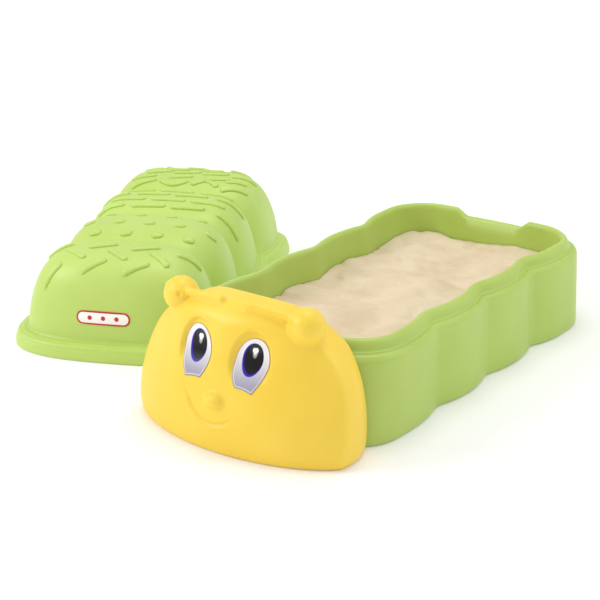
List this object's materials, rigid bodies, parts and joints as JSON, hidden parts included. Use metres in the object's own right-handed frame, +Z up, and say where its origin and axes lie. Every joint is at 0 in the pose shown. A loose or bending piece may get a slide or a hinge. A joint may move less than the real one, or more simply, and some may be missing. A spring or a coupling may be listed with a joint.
{
  "type": "sandbox with cover",
  "caption": "Inchworm-shaped play sandbox: scalloped double-walled tub with a smiling head on its front, a bed of sand, and a humped lift-off cover lying beside it.",
  "frame": {"origin": "middle of the tub's underside, on the ground, midway between its front wall and its rear end", "axes": "+Z up, -Y towards the head, +X towards the tub's side that faces away from the cover lying beside it"},
  "size_m": [1.3633, 1.1738, 0.3178],
  "materials": {
    "tub_plastic": "satin",
    "head_plastic": "satin",
    "decal_film": "gloss",
    "cover_plastic": "satin",
    "label_film": "gloss",
    "sand": "matte",
    "steel": "satin",
    "insert_brass": "satin",
    "plug_plastic": "satin"
  },
  "bodies": {
    "tub": {"tub": "tub_plastic", "head": "head_plastic", "left_eye_decal": "decal_film", "right_eye_decal": "decal_film", "sand_bed": "sand", "head_screws": "steel", "head_washers": "steel", "head_inserts": "insert_brass", "vent_plugs": "plug_plastic"},
    "cover": {"cover": "cover_plastic", "cover_label": "label_film"}
  },
  "joints": [
    {"name": "cover_lift", "type": "slide", "parent": "tub", "child": "cover", "axis": [0, 0, 1], "range_m": [0, 0.4]}
  ]
}
